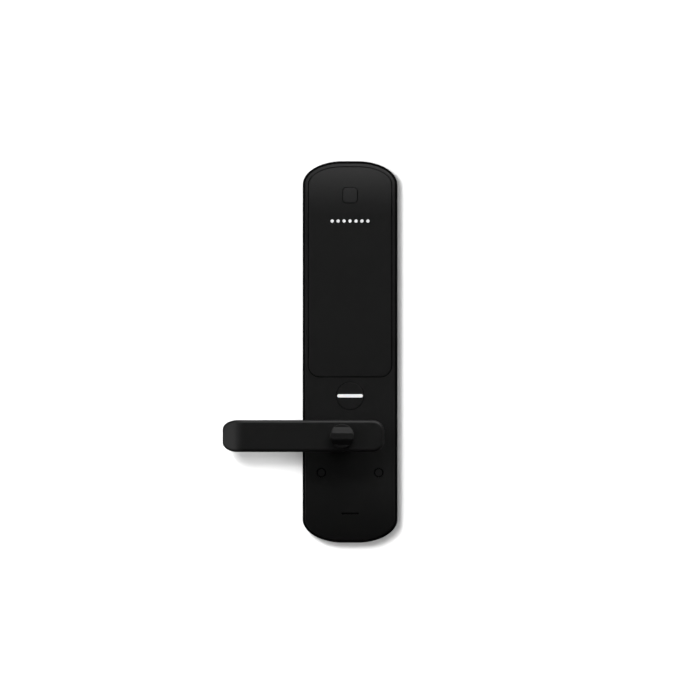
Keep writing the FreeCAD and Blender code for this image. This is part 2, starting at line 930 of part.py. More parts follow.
# ---------------------------------------------------------------- sub-parts of the rear plate


def rear_plate():
    """A steel plate that closes the back."""
    plate = slab(lambda s: body_outline(s, "side_wall+plate_gap"), "gasket_thick", "plate_thick")
    openings = [
        rod("0", "0", "plate_hole", "0", "5"),
        box("body_mid", "cable_high", "cable_wide", "cable_tall", "0", "5"),
    ]
    for z in ("post_high", "post_low"):
        openings.append(rod("body_mid", z, "post_neck+thread_gap", "0", "5"))
    for x in mirrored_x("rear_screw_spread"):
        for z in ("rear_screw_upper", "rear_screw_lower"):
            openings.append(rod(x, z, "small_screw+0.1", "0", "5"))
            openings.append(cone(x, z, "small_head", "small_screw+0.1", "gasket_thick", "1.4"))
    for x in mirrored_x("cap_spread"):
        openings.append(rod(x, "cap_high", "screw_radius+screw_gap", "0", "5"))
    for x, z in (*plate_screw_places(), *clamp_screw_places(), *guide_screw_places()):
        openings.append(rod(x, z, "plate_screw+thread_gap", "0", "5"))
    return cut(plate, *openings)


def rear_gasket():
    """A soft ring between the case and the door."""
    whole = slab(lambda s: body_outline(s, "gasket_inset"), "0", "gasket_thick")
    return cut(whole, slab(lambda s: body_outline(s, "gasket_inset+gasket_band"), "-1", "3"))


def cable_grommet():
    """A soft lining for the cable's way through the plate."""
    inner_wide, inner_tall = "cable_wide-2*grommet_wall", "cable_tall-2*grommet_wall"
    lining = box("body_mid", "cable_high", "cable_wide", "cable_tall", "gasket_thick", "plate_thick")
    lip = box(
        "body_mid",
        "cable_high",
        "cable_wide+2*grommet_lip",
        "cable_tall+2*grommet_lip",
        "gasket_thick+plate_thick",
        "1",
    )
    return cut(joined(lining, lip), box("body_mid", "cable_high", inner_wide, inner_tall, "0", "8"))


def mount_posts():
    """Two threaded posts that reach into the door, riveted to the plate."""
    posts = []
    for z in ("post_high", "post_low"):
        stem = rod("body_mid", z, "post_radius", "-post_reach", "post_reach+gasket_thick")
        neck = rod("body_mid", z, "post_neck", "0", "gasket_thick+plate_thick+0.5")
        head = rod("body_mid", z, "post_head", "gasket_thick+plate_thick", "post_head_tall")
        bore = rod("body_mid", z, "post_bore", "-post_reach-1", "post_bore_deep+1")
        posts.append(cut(joined(stem, neck, head), bore))
    return group(*posts)


def cover_standoffs():
    foot = "gasket_thick+plate_thick"
    posts = []
    for x in mirrored_x("cap_spread"):
        bore = rod(x, "cap_high", "screw_radius+thread_gap", "0", "20")
        posts.append(cut(rod(x, "cap_high", "standoff_radius", foot, f"standoff_head-({foot})"), bore))
    return group(*posts)


def rear_screws():
    """Countersunk screws through the plate into the case."""
    screws = []
    for x in mirrored_x("rear_screw_spread"):
        for z in ("rear_screw_upper", "rear_screw_lower"):
            head = cone(x, z, "small_head-0.05", "small_screw", "gasket_thick", "1.4")
            whole = joined(head, rod(x, z, "small_screw", "gasket_thick+1", "small_length"))
            arms = (("3.6", "cross_wide"), ("cross_wide", "3.6"))
            slots = [box(x, z, wide, tall, "gasket_thick-1", "1.7") for wide, tall in arms]
            screws.append(cut(whole, *slots))
    return group(*screws)


def main_post_places():
    for x in mirrored_x("main_half-main_inset"):
        for z in ("main_low+main_inset", "main_high-main_inset"):
            yield x, z


def board_standoffs():
    foot = "gasket_thick+plate_thick"
    posts = []
    for x, z in main_post_places():
        bore = rod(x, z, "small_screw+thread_gap", "0", "20")
        posts.append(cut(rod(x, z, "main_post", foot, f"main_foot-({foot})"), bore))
    return group(*posts)


def main_board():
    tall = "main_high-main_low"
    board = box("body_mid", "(main_low+main_high)/2", "2*main_half", tall, "main_foot", "board_thick")
    return cut(board, *[rod(x, z, "small_screw+0.1", "main_foot-1", "5") for x, z in main_post_places()])


def board_screws():
    seat = "main_foot+board_thick"
    return group(*[cross_screw(x, z, seat, "small", "6") for x, z in main_post_places()])


def board_chips():
    """The larger parts on the main board."""
    foot = "main_foot+board_thick"
    return group(
        box("body_mid", "134", "chip_side", "chip_side", foot, "chip_thick"),
        box("body_mid-14", "118", "6", "5", foot, "1.2"),
        box("body_mid+15", "119", "7", "8", foot, "chip_thick"),
        box("body_mid-13", "148", "5", "9", foot, "1.6"),
        box("body_mid+13", "152", "9", "4", foot, "1"),
        rod("body_mid-2", "112", "3.2", foot, "7"),
        rod("body_mid+7", "112", "3.2", foot, "7"),
    )


def harness_socket():
    """The plug-in point for the cable, open towards the front."""
    foot = "main_foot+board_thick"
    x, z = "body_mid", "main_low+8"
    hollow = box(
        x,
        z,
        "socket_wide-2*socket_wall",
        "socket_tall-2*socket_wall",
        f"{foot}+socket_wall",
        "socket_thick",
    )
    shell = cut(box(x, z, "socket_wide", "socket_tall", foot, "socket_thick"), hollow)
    places = [f"{x}+2.2*({n})" for n in (-2.5, -1.5, -0.5, 0.5, 1.5, 2.5)]
    pins = [box(place, z, "0.6", "0.6", foot, "socket_thick-1.5") for place in places]
    return joined(shell, *pins)


# ---------------------------------------------------------------- status button


def status_button():
    """A round push button, flanged behind the case's front, with a slot for its light bar."""
    disc = rod("body_mid", "button_high", "button_radius", "button_foot", "body_depth-button_foot")
    disc = rounded(disc, "button_edge", beyond("body_depth-0.1"))
    flange = rod("body_mid", "button_high", "button_flange", "button_foot", "1")
    opening = slot("body_mid", "button_high", "bar_wide+2*bar_gap", "bar_tall+2*bar_gap", "20", "10")
    return cut(joined(disc, flange), opening)


def light_bar():
    """A light pipe: a narrow bar in the button's face, on a wider base."""
    tall = "body_depth-button_foot+0.5"
    bar = slot("body_mid", "button_high", "bar_wide", "bar_tall", "button_foot-0.5", tall)
    foot = "button_foot-bar_base_thick"
    base = box("body_mid", "button_high", "bar_base_wide", "bar_base_tall", foot, "bar_base_thick")
    return joined(bar, base)


def switch_plunger():
    z = "button_high-plunger_drop"
    return rod("body_mid", z, "plunger_radius", "button_foot-plunger_length", "plunger_length")


def button_pad():
    """A soft ring that pushes the button back out."""
    foot = "button_board_front"
    return ring("body_mid", "button_high", "pad_outer", "pad_inner", foot, f"button_foot-{foot}")


def button_board():
    foot = "button_board_front-board_thick"
    board = box("body_mid", "button_high", "button_board_wide", "button_board_tall", foot, "board_thick")
    holes = [rod(x, "button_high", "tiny_screw+0.1", "10", "10") for x in mirrored_x("button_screw_spread")]
    return cut(board, *holes)


def button_screws():
    seat = "button_board_front-board_thick"
    screws = []
    for x in mirrored_x("button_screw_spread"):
        screws.append(cross_screw(x, "button_high", seat, "tiny", "tiny_length", outward=False))
    return group(*screws)


def button_switch():
    """A low switch under the plunger."""
    z = "button_high-plunger_drop"
    case = box("body_mid", z, "switch_side", "switch_side", "button_board_front", "switch_thick-0.4")
    return joined(case, rod("body_mid", z, "1.75", "button_board_front+1", "switch_thick-1"))


def status_lamps():
    lamps = []
    for x in ("body_mid-6", "body_mid", "body_mid+6"):
        lamps.append(box(x, "button_high", "lamp_wide", "lamp_tall", "button_board_front", "lamp_thick"))
    return group(*lamps)


# ---------------------------------------------------------------- lever


def lever_bar():
    """The bar of the lever: its profile seen from above, within its outline seen from the front."""
    back = "-(lever_front-lever_thick)"
    profile = new_body()
    sketch = new_sketch(profile, "XY_Plane", "-lever_half-2")
    chain(sketch, [
        ("lever_right+2", "-lever_front"),
        ("-bend_start", "-lever_front"),
        ("-bend_start-bend_run", "bend_drop-lever_front"),
        ("-bend_start-bend_run+bend_shift", f"{back}+bend_drop"),
        ("-bend_start+bend_shift", back),
        ("lever_right+2", back),
    ])
    pad(profile, sketch, "2*lever_half+4")
    rounded_body(profile, "bend_outer", lambda e: bend_edge(e, "-bend_start", "-lever_front"))
    rounded_body(profile, "bend_inner", lambda e: bend_edge(e, "-bend_start+bend_shift", back))
    end = ("lever_end_wide", "lever_end_tall")
    heel = ("lever_heel_wide", "lever_heel_tall")
    corners = [heel, end, end, heel]
    front = slab(
        lambda s: outline(s, "-lever_left", "lever_right", "-lever_half", "lever_half", corners),
        "20",
        "lever_front",
    )
    bar = common(profile, front)
    return rounded(bar, "lever_round", lambda e: not along_depth(e))


def bend_edge(edge, x, y):
    middle = edge.CenterOfMass
    return abs(middle.x - size(x)) < 0.5 and abs(middle.y - size(y)) < 0.5


def lever():
    """The handle, with the neck that slips over the lever's shaft."""
    back = "lever_front-lever_thick"
    neck = rod("0", "0", "neck_radius", "neck_foot", f"{back}-neck_foot+1")
    flare = cone("0", "0", "neck_radius", "neck_flare", f"{back}-neck_flare_long", "neck_flare_long+0.2")
    whole = joined(lever_bar(), neck, flare)
    return cut(
        whole,
        rod("0", "0", "core_radius+fit_gap", "neck_foot-1", "core_head+0.3-neck_foot+1"),
        rod("0", "0", "turn_bore", "20", "50"),
        post("0", "grub_depth", "grub_radius+thread_gap", "-neck_radius-1", "neck_radius-core_radius+2"),
    )


def lever_shaft():
    """The turned shaft in the lever's neck, with a square end for the drum."""
    core = rod("0", "0", "core_radius", "journal_foot", "core_head-journal_foot")
    journal = rod("0", "0", "journal_radius", "journal_foot", "neck_foot-0.1-journal_foot")
    tenon = box("0", "0", "tenon_side", "tenon_side", "tenon_foot", "journal_foot-tenon_foot+1")
    groove = ring("0", "0", "journal_radius+1", "clip_groove", "clip_foot", "clip_thick")
    dimple_tall = "core_radius+1-grub_foot+0.1"
    dimple = post("0", "grub_depth", "grub_radius+thread_gap", "-core_radius-1", dimple_tall)
    return cut(joined(core, journal, tenon), rod("0", "0", "turn_bore", "10", "40"), groove, dimple)


def grub_screw():
    body = post("0", "grub_depth", "grub_radius", "-grub_head", "grub_head-grub_foot")
    socket = post("0", "grub_depth", "grub_radius*0.5", "-grub_head-1", "2.2")
    return cut(body, socket)


def lever_circlip():
    return open_ring("clip_outer", "clip_groove", "clip_foot+0.02", "clip_thick-0.04", "clip_mouth")


def clutch_drum():
    """A cup on the shaft's square end, with a radial hole for the clutch pin and a lug for the stops."""
    wall = rod("0", "0", "drum_outer", "drum_foot", "drum_head-drum_foot")
    lug_high = "-(drum_outer+lug_reach)/2+0.5"
    lug = box("0", lug_high, "lug_wide", "lug_reach-drum_outer+1", "drum_foot", "lug_thick")
    side = "tenon_side+2*fit_gap"
    return cut(
        joined(wall, lug),
        rod("0", "0", "drum_inner", "drum_foot-1", "drum_floor-drum_foot+1"),
        box("0", "0", side, side, "drum_floor-1", "6"),
        post("0", "pin_depth", "pin_radius+pin_gap", "5", "10"),
        post("0", "pin_depth", "pin_pocket", "pin_pocket_floor", "5"),
        spring_leg("drum_outer+1", "spring_leg_inner-0.4", "spring_foot", SPRING_START, "spring_wire+0.2"),
    )


def hub():
    """The driven part of the clutch, with a notch for the pin and a square hole for the spindle."""
    disc = rod("0", "0", "hub_radius", "hub_foot", "hub_head-hub_foot")
    journal = rod("0", "0", "hub_journal", "hub_journal_foot", "hub_foot-hub_journal_foot+1")
    side = "spindle_side+2*fit_gap"
    return cut(
        joined(disc, journal),
        box("0", "0", side, side, "0", "20"),
        post("0", "pin_depth", "notch_radius", "notch_floor", "5"),
    )


def spindle():
    """A square tube that turns the lock inside the door, hollow for the knob's tail."""
    long = "spindle_reach+spindle_head"
    bar = box("0", "0", "spindle_side", "spindle_side", "-spindle_reach", long)
    return cut(bar, rod("0", "0", "spindle_bore", "-spindle_reach-1", f"{long}+2"))


# ---------------------------------------------------------------- spring plate and return spring

SPRING_START = 290
SPRING_POST = 200
STOP_ANGLES = (255, 330)
PLATE_SCREW_ANGLES = (20, 110, 228)


def plate_screw_places():
    return [at_angle("plate_screw_ring", angle) for angle in PLATE_SCREW_ANGLES]


def spring_plate():
    """A disc on the rear plate, with two stops for the drum's lug and a post for the spring."""
    foot = "gasket_thick+plate_thick"
    things = [rod("0", "0", "spring_plate", foot, "spring_plate_thick")]
    for angle in STOP_ANGLES:
        x, z = at_angle("stop_ring", angle)
        things.append(rod(x, z, "stop_radius", foot, f"stop_head-({foot})"))
    x, z = at_angle("spring_leg_outer-1.6", SPRING_POST - 5)
    things.append(rod(x, z, "stop_radius*0.8", foot, f"spring_post_head-({foot})"))
    holes = [rod(x, z, "plate_screw+thread_gap", "0", "9") for x, z in plate_screw_places()]
    return cut(joined(*things), rod("0", "0", "spring_plate_hole", "0", "9"), *holes)


def flat_screw(x, z, seat, length):
    """A small low-headed screw that faces outwards."""
    whole = joined(
        rod(x, z, "plate_screw", f"({seat})-({length})", length),
        rod(x, z, "plate_screw_head", seat, "plate_screw_tall"),
    )
    return cut(whole, box(x, z, "plate_screw_head*1.4", "cross_wide", f"({seat})+plate_screw_tall/2", "1"))


def plate_screws():
    seat = "gasket_thick+plate_thick+spring_plate_thick"
    return group(*[flat_screw(x, z, seat, "plate_screw_length") for x, z in plate_screw_places()])


def spring_leg(outer, inner, depth, degrees, wire):
    """A straight piece of wire along a radius."""
    leg = doc.addObject("Part::Cylinder", "leg")
    bind(leg, Radius=wire, Height=f"({outer})-({inner})")
    direction = FreeCAD.Rotation(V(0, 1, 0), 90 - degrees)
    leg.Placement = FreeCAD.Placement(V(0, 0, 0), direction)
    x, z = at_angle(inner, degrees)
    return place(leg, x, f"-({depth})", z)


def return_spring():
    """A coil round the drum that turns the lever back, one leg in the drum and one on the post."""
    winding = coil("spring_mean", "spring_pitch", "spring_tall", round_wire("spring_wire"))
    start = FreeCAD.Rotation(V(0, 1, 0), -SPRING_START)
    winding.Placement = FreeCAD.Placement(V(0, 0, 0), start * FreeCAD.Rotation(V(1, 0, 0), 90))
    place(winding, "0", "-spring_foot", "0")
    outside = "spring_mean-spring_wire"
    inner = spring_leg(outside, "spring_leg_inner", "spring_foot", SPRING_START, "spring_wire")
    far = "spring_foot+spring_tall"
    outer = spring_leg("spring_leg_outer", "spring_mean+spring_wire", far, SPRING_POST, "spring_wire")
    return group(winding, inner, outer)


# ---------------------------------------------------------------- clutch


def clutch_pin():
    """A headed pin whose inner end fits the hub's notch. Its head is curved about the lever's axis."""
    stem = post("0", "pin_depth", "pin_radius", "pin_tip", "pin_head_foot-pin_tip+0.5")
    head = post("0", "pin_depth", "pin_head", "pin_head_foot", "pin_head_reach-pin_head_foot+0.5")
    return joined(stem, common(head, rod("0", "0", "pin_head_reach", "0", "20")))


def pin_spring():
    """A coil under the pin's head that draws the pin back out of the notch."""
    winding = coil("pin_coil", "pin_coil_pitch", "pin_coil_tall", square_wire("pin_wire*0.7"))
    return place(winding, "0", "-pin_depth", "pin_pocket_floor+pin_wire*0.7+0.02")


def clutch_shoe():
    """A slider with an arched lower side that holds the pin in wherever the lever stands."""
    tall = "shoe_head-shoe_foot"
    block = box("worm_x", f"shoe_foot+({tall})/2", "shoe_wide", tall, "pin_depth-shoe_half", "2*shoe_half")
    bore_tall = "shoe_head-worm_bore_foot+1"
    bore = post("worm_x", "pin_depth", "worm_radius+worm_gap", "worm_bore_foot", bore_tall)
    return cut(block, rod("0", "0", "shoe_arc", "0", "20"), bore)


def ear_places(spread, z):
    return [(f"worm_x-({spread})", z), (f"worm_x+({spread})", z)]


def guide_screw_places():
    return ear_places("shoe_wide/2+guide_wall+clamp_ear/2", "guide_foot+guide_tall/2")


def clamp_screw_places():
    return ear_places("motor_wide/2+clamp_wall+clamp_ear/2", "clamp_foot+clamp_tall/2")


def saddle(width, foot, tall, front, places):
    """A block on the rear plate with a screwed ear on each side."""
    base = "gasket_thick+plate_thick"
    z = f"({foot})+({tall})/2"
    block = box("worm_x", z, width, tall, base, f"({front})-({base})")
    ears = box("worm_x", z, f"({width})+2*clamp_ear", tall, base, "clamp_ear_thick")
    holes = [rod(x, high, "plate_screw+thread_gap", "0", "9") for x, high in places]
    return cut(joined(block, ears), *holes)


def shoe_guide():
    """A channel that the shoe slides in."""
    wide = "shoe_wide+2*guide_wall"
    block = saddle(wide, "guide_foot", "guide_tall", "guide_front", guide_screw_places())
    channel_foot = "pin_depth-shoe_half-guide_gap"
    channel = box("worm_x", "guide_foot", "shoe_wide+2*guide_gap", "30", channel_foot, "10")
    return cut(block, channel)


def motor_clamp():
    """A strap round the motor."""
    front = "pin_depth+motor_thick/2+clamp_wall"
    block = saddle("motor_wide+2*clamp_wall", "clamp_foot", "clamp_tall", front, clamp_screw_places())
    return cut(block, motor_can("clamp_foot-1", "clamp_tall+2", "fit_gap"))


def saddle_screws():
    seat = "gasket_thick+plate_thick+clamp_ear_thick"
    places = (*guide_screw_places(), *clamp_screw_places())
    return group(*[flat_screw(x, z, seat, "plate_screw_length") for x, z in places])


def motor_can(foot, tall, grow):
    """A cylinder about the lead screw's line, with flats in front and behind."""
    drum = post("worm_x", "pin_depth", f"motor_wide/2+({grow})", foot, tall)
    back = f"pin_depth-motor_thick/2-({grow})"
    flats = box("worm_x", f"({foot})+({tall})/2", "motor_wide+2", tall, back, f"motor_thick+2*({grow})")
    return common(drum, flats)


def clutch_motor():
    """A small geared motor."""
    gearbox = box(
        "worm_x",
        "motor_foot+motor_gearbox/2",
        "motor_wide",
        "motor_gearbox",
        "pin_depth-motor_thick/2",
        "motor_thick",
    )
    top = "motor_foot+motor_gearbox+motor_can"
    return joined(
        gearbox,
        motor_can("motor_foot+motor_gearbox-0.5", "motor_can+0.5", "0"),
        post("worm_x", "pin_depth", "motor_nose", "motor_foot-motor_nose_tall", "motor_nose_tall+1"),
        post("worm_x", "pin_depth", "motor_nose", f"{top}-1", "1.8"),
    )


def clutch_screw():
    """The motor's lead screw."""
    top = "motor_foot-motor_nose_tall-0.1"
    core = post("worm_x", "pin_depth", "worm_radius-0.35", "worm_tip", f"{top}-worm_tip")
    collar = post("worm_x", "pin_depth", "worm_radius", f"{top}-2.4", "2.4")
    thread = coil("worm_radius-0.35", "worm_lead", "8", round_wire("0.3"))
    place(thread, "worm_x", "-pin_depth", "worm_tip+0.4")
    return joined(core, collar, thread)


# ---------------------------------------------------------------- turn knob


def turn_knob():
    """A disc with a tapered grip across it, which flares towards the disc."""
    disc = rod("0", "0", "knob_radius", "knob_foot", "knob_disc")
    disc = rounded(disc, "disc_edge", beyond("knob_foot+knob_disc-0.1"))
    grip = new_body()
    shapes = (
        ("knob_foot+knob_disc-0.2", "grip_foot"),
        ("knob_foot+knob_disc+grip_flare", "grip_base"),
        ("knob_reach", "grip_top"),
    )
    sketches = []
    for depth, tall in shapes:
        sketch = new_sketch(grip, "XZ_Plane", depth)
        sketches.append(centred_outline(sketch, "0", "0", "grip_long", tall, "grip_corner"))
    loft = grip.newObject("PartDesign::AdditiveLoft", "grip")
    loft.Profile = sketches[0]
    loft.Sections = sketches[1:]
    loft.Ruled = True
    grip.Tip = loft
    grip = common(grip, rod("0", "0", "knob_radius", "knob_foot", "20"))
    grip = rounded(grip, "grip_edge", beyond("knob_reach-0.1"))
    socket = box("0", "0", "knob_socket", "knob_socket", "knob_foot-1", "knob_socket_deep+1")
    return cut(joined(disc, grip), socket)


def turn_tail():
    """The rod from the knob through the lever and the spindle, flattened at its far end."""
    shank = rod("0", "0", "shank_radius", "shank_foot", "knob_foot-0.1-shank_foot")
    square = "knob_socket-2*fit_gap"
    head = box("0", "0", square, square, "knob_foot-1", "knob_socket_deep")
    stem = rod("0", "0", "tail_radius", "-tail_blade_root", "tail_blade_root+shank_foot+0.5")
    blade = common(
        rod("0", "0", "tail_radius", "-tail_reach", "tail_reach-tail_blade_root+0.5"),
        box("0", "0", "10", "tail_blade", "-tail_reach", "20"),
    )
    groove = ring("0", "0", "shank_radius+1", "eclip_groove", "eclip_foot", "eclip_thick")
    return cut(joined(shank, head, stem, blade), groove)


def turn_clip():
    return open_ring("eclip_outer", "eclip_groove", "eclip_foot+0.02", "eclip_thick-0.04", "eclip_mouth")


# ---------------------------------------------------------------- export

SUB_PARTS = [
    front_housing,
    touch_panel,
    panel_mark,
    panel_tape,
    light_guide,
    keypad_board,
    keypad_lamps,
    fingerprint_sensor,
    sensor_board,
    lever_bush,
    cover_screws,
    screw_caps,
    cover_standoffs,
    sound_foam,
    buzzer,
    rear_plate,
    rear_gasket,
    cable_grommet,
    mount_posts,
    rear_screws,
    board_standoffs,
    main_board,
    board_screws,
    board_chips,
    harness_socket,
    status_button,
    light_bar,
    switch_plunger,
    button_pad,
    button_board,
    button_screws,
    button_switch,
    status_lamps,
    lever,
    lever_shaft,
    grub_screw,
    lever_circlip,
    clutch_drum,
    hub,
    spindle,
    spring_plate,
    plate_screws,
    return_spring,
    clutch_pin,
    pin_spring,
    clutch_shoe,
    shoe_guide,
    motor_clamp,
    saddle_screws,
    clutch_motor,
    clutch_screw,
    turn_knob,
    turn_tail,
    turn_clip,
]


def export(name, thing):
    """Checks a finished sub-part and writes it."""
    thing.Label = name
    if thing.Shape.isNull() or not thing.Shape.isValid():
        raise RuntimeError(f"{name} has no valid shape")
    thing.Shape.exportStep(f"parts/{name}.step")


def main():
    os.makedirs("parts", exist_ok=True)
    built = {make.__name__: make() for make in SUB_PARTS}
    doc.recompute()
    for thing in doc.Objects:
        if {"Invalid", "Error"} & set(thing.State):
            raise RuntimeError(f"{thing.Name} ({thing.TypeId}) failed to build")
    for name, thing in built.items():
        export(name, thing)
    print(f"{len(built)} sub-parts written")


main()
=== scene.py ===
"""Keypad smart lock: looks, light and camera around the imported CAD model.

Metres, in the CAD frame: the origin is on the lever's axis in the plane of the door's face, X runs to the
right and Z up as the lock is seen from the front, and the front looks along -Y.
"""
import json
import math

import bpy
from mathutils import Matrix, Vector

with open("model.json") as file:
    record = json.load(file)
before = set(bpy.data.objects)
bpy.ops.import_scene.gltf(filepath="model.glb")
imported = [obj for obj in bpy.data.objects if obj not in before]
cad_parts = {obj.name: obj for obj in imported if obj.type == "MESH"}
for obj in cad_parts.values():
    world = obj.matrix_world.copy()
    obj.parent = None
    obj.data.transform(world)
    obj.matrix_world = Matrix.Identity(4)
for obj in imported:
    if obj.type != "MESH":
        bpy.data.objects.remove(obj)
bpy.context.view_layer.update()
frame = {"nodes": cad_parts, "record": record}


# The case's front, which is flat between two heights and curves back beyond them. A surface that lies further
# behind it than RECESS_DEPTH counts as sunk in a seam or a hole, and gets painted shade there: its
# reflections are dimmed.
CASE_DEPTH = 0.027
CROWN_LOW, CROWN_HIGH = -0.0443, 0.1798
CROWN_RADIUS = 0.15
RECESS_DEPTH = 0.0009


# ---------------------------------------------------------------- node helpers


class Shader:
    """A material's node tree, with short ways to add and join nodes."""

    def __init__(self, name):
        self.material = bpy.data.materials.new(name)
        self.material.use_nodes = True
        self.tree = self.material.node_tree
        self.tree.nodes.clear()
        self.output = self.add("ShaderNodeOutputMaterial")
        self.place = self.add("ShaderNodeTexCoord").outputs["Object"]

    def add(self, kind, **settings):
        node = self.tree.nodes.new(kind)
        for key, value in settings.items():
            setattr(node, key, value)
        return node

    def join(self, source, target):
        self.tree.links.new(source, target)

    def fill(self, node, **inputs):
        """Links named inputs to node outputs, or sets them to constants. An underscore stands for a space."""
        for key, value in inputs.items():
            self.feed(node.inputs[key.replace("_", " ")], value)

    def feed(self, socket, value):
        if isinstance(value, bpy.types.NodeSocket):
            self.join(value, socket)
        else:
            socket.default_value = value

    def principled(self, **inputs):
        node = self.add("ShaderNodeBsdfPrincipled")
        self.fill(node, **inputs)
        self.join(node.outputs[0], self.output.inputs["Surface"])

    def noise(self, scale, detail=3.0, roughness=0.55, stretch=None):
        node = self.add("ShaderNodeTexNoise")
        self.fill(node, Scale=scale, Detail=detail, Roughness=roughness, Vector=self.stretched(stretch))
        return node.outputs["Fac"]

    def stretched(self, stretch):
        if stretch is None:
            return self.place
        node = self.add("ShaderNodeMapping")
        self.fill(node, Scale=stretch, Vector=self.place)
        return node.outputs["Vector"]

    def cells(self, scale):
        """Distance to the nearest of a cloud of points."""
        node = self.add("ShaderNodeTexVoronoi")
        self.fill(node, Scale=scale, Vector=self.place)
        return node.outputs["Distance"]

    def spread(self, value, low, high):
        """Maps a value from 0..1 to low..high."""
        node = self.add("ShaderNodeMapRange")
        self.fill(node, Value=value, To_Min=low, To_Max=high)
        return node.outputs["Result"]

    def ramp(self, value, stops):
        node = self.add("ShaderNodeValToRGB")
        elements = node.color_ramp.elements
        while len(elements) < len(stops):
            elements.new(1.0)
        for element, (position, color) in zip(elements, stops):
            element.position = position
            element.color = (*color, 1.0)
        self.fill(node, Fac=value)
        return node.outputs["Color"]

    def math(self, operation, *values):
        node = self.add("ShaderNodeMath", operation=operation)
        for socket, value in zip(node.inputs, values):
            self.feed(socket, value)
        return node.outputs[0]

    def light_path(self, ray):
        return self.add("ShaderNodeLightPath").outputs[ray]

    def axes(self, vector):
        node = self.add("ShaderNodeSeparateXYZ")
        self.fill(node, Vector=vector)
        return node.outputs

    def recess_shade_mask(self):
        """Painted shade mask: 1 on a surface that faces the front but lies behind the lock's crowned front,
        else 0. It dims reflections in seams and holes to paint the shade that falls there.
        """
        place = self.axes(self.place)
        normal = self.axes(self.add("ShaderNodeNewGeometry").outputs["Normal"])
        above = self.math("SUBTRACT", place["Z"], CROWN_HIGH)
        below = self.math("SUBTRACT", CROWN_LOW, place["Z"])
        past = self.math("MAXIMUM", self.math("MAXIMUM", above, below), 0.0)
        drop = self.math("DIVIDE", self.math("MULTIPLY", past, past), 2.0 * CROWN_RADIUS)
        sunk = self.math("SUBTRACT", self.math("ADD", place["Y"], CASE_DEPTH), drop)
        deep = self.math("GREATER_THAN", sunk, RECESS_DEPTH)
        return self.math("MULTIPLY", deep, self.math("LESS_THAN", normal["Y"], -0.5))

    def bump(self, height, distance):
        node = self.add("ShaderNodeBump")
        self.fill(node, Strength=1.0, Distance=distance, Height=height)
        return node.outputs["Normal"]


# ---------------------------------------------------------------- materials


# The sockets of a colour mix: its two colours and its result.
MIX_FIRST, MIX_SECOND, MIX_RESULT = 6, 7, 2

# The colour of bare tinned copper.
TINNED = (0.62, 0.6, 0.52)

# How coordinates are stretched before a noise, so that its lines run along one axis.
LINES_Y = (1.0, 0.03, 1.0)
LINES_Z = (1.0, 1.0, 0.03)
EVEN = (1.0, 1.0, 1.0)


def shade(color, factor):
    return tuple(min(channel * factor, 1.0) for channel in color)


def grey(value):
    return (value, value, value)


def satin_paint(name, color, roughness, grain):
    """Fine textured coating: tiny orange peel, slow variation of tone and gloss, and painted shade in the
    recesses.
    """
    s = Shader(name)
    cloud = s.noise(22.0, detail=4.0)
    fine = s.noise(1600.0, detail=2.0)
    both = s.math("ADD", s.math("MULTIPLY", cloud, 0.5), s.math("MULTIPLY", fine, 0.5))
    s.principled(
        Base_Color=s.ramp(cloud, [(0.3, shade(color, 0.86)), (0.7, shade(color, 1.14))]),
        Roughness=s.spread(both, roughness - 0.05, roughness + 0.05),
        # Painted shade: the reflections are dimmed on surfaces sunk in seams and holes.
        Specular_IOR_Level=s.spread(s.recess_shade_mask(), 0.5, 0.15),
        Normal=s.bump(fine, grain),
    )
    return s.material


def moulded(name, color, roughness, scale=900.0):
    """Moulded plastic or rubber with a fine grain, and painted shade in the recesses."""
    s = Shader(name)
    cloud = s.noise(60.0)
    fine = s.noise(scale)
    s.principled(
        Base_Color=s.ramp(cloud, [(0.3, shade(color, 0.9)), (0.7, shade(color, 1.08))]),
        Roughness=s.spread(fine, roughness - 0.06, roughness + 0.06),
        # Painted shade: the reflections are dimmed on surfaces sunk in seams and holes.
        Specular_IOR_Level=s.spread(s.recess_shade_mask(), 0.5, 0.1),
        Normal=s.bump(fine, 0.00002),
    )
    return s.material


def metal(name, color, roughness, stretch, dull=0.1):
    """Drawn, brushed or turned metal: fine lines along one direction, with duller patches."""
    s = Shader(name)
    lines = s.noise(700.0, detail=4.0, roughness=0.6, stretch=stretch)
    patch = s.noise(45.0, detail=5.0)
    both = s.math("MULTIPLY", s.math("ADD", lines, patch), 0.5)
    s.principled(
        Base_Color=s.ramp(both, [(0.3, shade(color, 0.82)), (0.7, shade(color, 1.1))]),
        Metallic=1.0,
        Roughness=s.spread(both, roughness - dull, roughness + dull),
        Normal=s.bump(lines, 0.000015),
    )
    return s.material


def foam(name, color):
    """Soft open foam with small cells."""
    s = Shader(name)
    cells = s.cells(1400.0)
    s.principled(
        Base_Color=s.ramp(cells, [(0.1, shade(color, 0.6)), (0.8, shade(color, 1.5))]),
        Roughness=0.9,
        Specular_IOR_Level=0.1,
        Normal=s.bump(cells, 0.0001),
    )
    return s.material


def circuit(name, color):
    """Solder mask over copper tracks, with round tinned pads."""
    s = Shader(name)
    turned = s.add("ShaderNodeMapping")
    s.fill(turned, Rotation=(math.radians(90), 0, 0), Vector=s.place)
    grid = s.add("ShaderNodeTexBrick", offset=0.37, squash=1.6)
    s.fill(grid, Scale=90.0, Mortar_Size=0.012, Brick_Width=0.9, Row_Height=0.16)
    s.join(turned.outputs["Vector"], grid.inputs["Vector"])
    track = s.math("SUBTRACT", 1.0, grid.outputs["Fac"])
    mask = s.ramp(s.math("MULTIPLY", track, s.noise(70.0)), [(0.25, shade(color, 1.9)), (0.5, color)])
    pad = s.math("LESS_THAN", s.cells(260.0), 0.14)
    mix = s.add("ShaderNodeMix", data_type="RGBA")
    s.fill(mix, Factor=pad)
    s.feed(mix.inputs[MIX_FIRST], mask)
    s.feed(mix.inputs[MIX_SECOND], (*TINNED, 1.0))
    s.principled(
        Base_Color=mix.outputs[MIX_RESULT],
        Metallic=s.math("MULTIPLY", pad, 0.9),
        Roughness=s.spread(pad, 0.32, 0.25),
        Normal=s.bump(track, 0.00003),
    )
    return s.material


